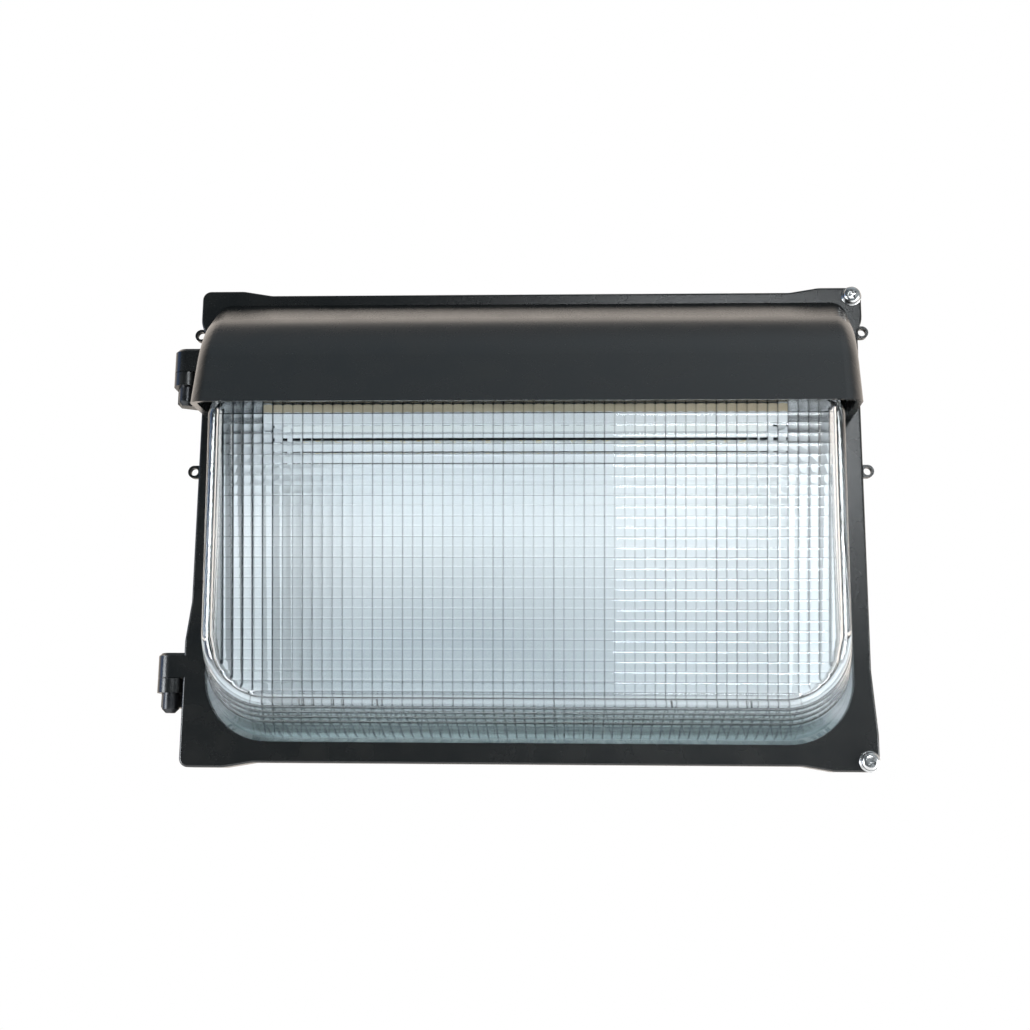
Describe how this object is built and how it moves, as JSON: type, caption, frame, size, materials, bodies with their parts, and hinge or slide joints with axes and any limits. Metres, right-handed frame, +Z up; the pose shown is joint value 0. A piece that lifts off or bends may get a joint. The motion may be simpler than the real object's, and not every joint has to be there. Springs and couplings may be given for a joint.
{
  "type": "wall pack light",
  "caption": "Outdoor wall pack light with a cast housing, a side-hinged door with hood and prismatic glass lens, and captive door screws.",
  "frame": {"origin": "on the wall face, at the middle of the four wall screw holes", "axes": "+X right seen from the front, +Z up, +Y into the wall; the light faces -Y"},
  "size_m": [0.3634, 0.1793, 0.2488],
  "materials": {
    "bronze_coat": "satin",
    "stainless": "polished",
    "zinc": "satin",
    "glass": "polished",
    "silicone": "matte",
    "white_enamel": "gloss",
    "aluminium": "satin",
    "board_mask": "satin",
    "led_phosphor": "satin",
    "pad_grey": "matte",
    "driver_case": "satin",
    "ground_green": "satin"
  },
  "bodies": {
    "housing": {"back_housing": "bronze_coat", "conduit_plugs": "bronze_coat", "driver_tray": "zinc", "tray_screws": "zinc", "driver": "driver_case", "driver_screws": "zinc", "ground_screw": "ground_green"},
    "door": {"board_screws": "zinc", "carrier_screws": "zinc", "clip_screws": "zinc", "door_frame": "bronze_coat", "door_seal": "silicone", "hinge_pin_lower": "bronze_coat", "hinge_pin_upper": "bronze_coat", "led_board": "board_mask", "led_carrier": "aluminium", "leds": "led_phosphor", "lens": "glass", "lens_clips": "zinc", "lens_seal": "silicone", "reflector": "white_enamel", "thermal_pad": "pad_grey"},
    "door_screw_upper": {"captive_screw_upper": "stainless", "captive_washer_upper": "stainless", "captive_ring_upper": "stainless"},
    "door_screw_lower": {"captive_screw_lower": "stainless", "captive_washer_lower": "stainless", "captive_ring_lower": "stainless"}
  },
  "joints": [
    {"name": "door_hinge", "type": "hinge", "parent": "housing", "child": "door", "pos_m": [-0.1803, -0.0973, 0], "axis": [0, 0, -1], "range_deg": [0, 110]},
    {"name": "upper_screw_slide", "type": "slide", "parent": "door", "child": "door_screw_upper", "axis": [0, -1, 0], "range_m": [0, 0.0082]},
    {"name": "lower_screw_slide", "type": "slide", "parent": "door", "child": "door_screw_lower", "axis": [0, -1, 0], "range_m": [0, 0.0082]}
  ]
}
